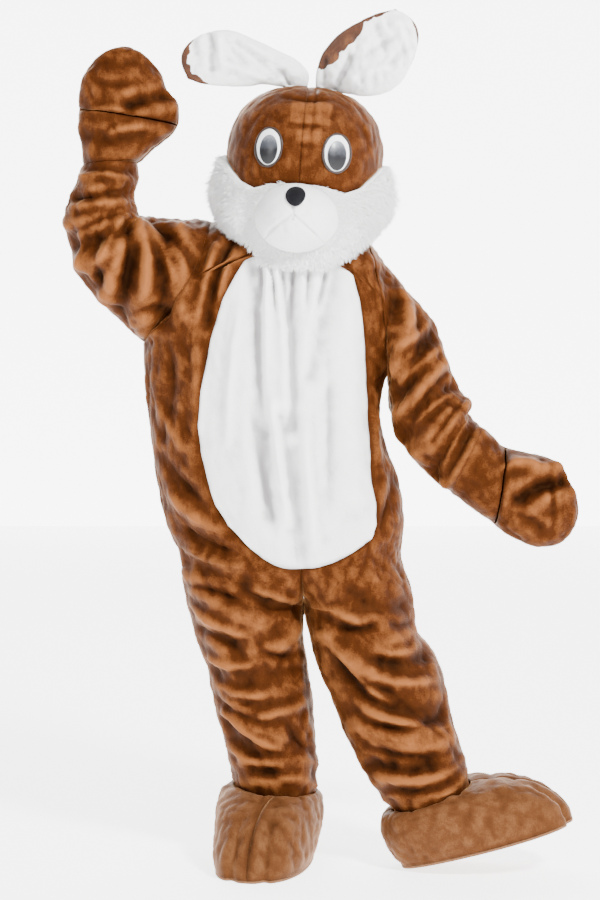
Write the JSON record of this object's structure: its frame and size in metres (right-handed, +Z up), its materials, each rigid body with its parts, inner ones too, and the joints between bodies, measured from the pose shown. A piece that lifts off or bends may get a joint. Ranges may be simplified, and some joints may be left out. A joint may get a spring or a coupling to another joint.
{
  "type": "rabbit mascot costume",
  "caption": "Worn rabbit mascot costume: hollow plush jumpsuit with a pale belly, big head with upright ears, furry cheeks, mitts and shoe covers; one arm waves.",
  "frame": {"origin": "between the shoulders at the base of the neck, where the wearer carries the costume, 1.46 m above the floor", "axes": "+X to the wearer's left, -Y to the front, +Z up"},
  "size_m": [1.137, 0.4411, 1.9191],
  "materials": {
    "brown_plush": "short satiny pile",
    "white_plush": "short soft pile, long fur on the cheeks",
    "tan_plush": "matte short pile",
    "black_velour": "velour",
    "eye_white": "smooth",
    "eye_dark": "smooth",
    "sole_foam": "matte",
    "zip_tape": "woven",
    "zip_metal": "satin"
  },
  "bodies": {
    "costume": {"back_left": "brown_plush", "back_right": "brown_plush", "belly_panel": "white_plush", "cheek_left": "white_plush", "cheek_right": "white_plush", "ear_back_left": "brown_plush", "ear_back_right": "brown_plush", "ear_front_left": "white_plush", "ear_front_right": "white_plush", "eye_iris_left": "eye_dark", "eye_iris_right": "eye_dark", "eye_white_left": "eye_white", "eye_white_right": "eye_white", "foot_inner_left": "tan_plush", "foot_inner_right": "tan_plush", "foot_outer_left": "tan_plush", "foot_outer_right": "tan_plush", "foot_sole_left": "sole_foam", "foot_sole_right": "sole_foam", "front_left": "brown_plush", "front_right": "brown_plush", "head_back_left": "brown_plush", "head_back_right": "brown_plush", "head_front_left": "brown_plush", "head_front_right": "brown_plush", "mitt_back_left": "brown_plush", "mitt_back_right": "brown_plush", "mitt_heel_left": "brown_plush", "mitt_heel_right": "brown_plush", "mitt_palm_left": "brown_plush", "mitt_palm_right": "brown_plush", "muzzle_left": "white_plush", "muzzle_lower": "white_plush", "muzzle_right": "white_plush", "nose": "black_velour", "sleeve_left": "brown_plush", "sleeve_right": "brown_plush", "zip_slider": "zip_metal", "zip_tape": "zip_tape"},
    "pull": {"zip_pull": "zip_metal"}
  },
  "joints": [
    {"name": "zip_pull_swing", "type": "hinge", "parent": "costume", "child": "pull", "pos_m": [-0.00272, 0.13125, -0.04816], "axis": [1, 0, 0], "range_deg": [-4, 120]}
  ]
}
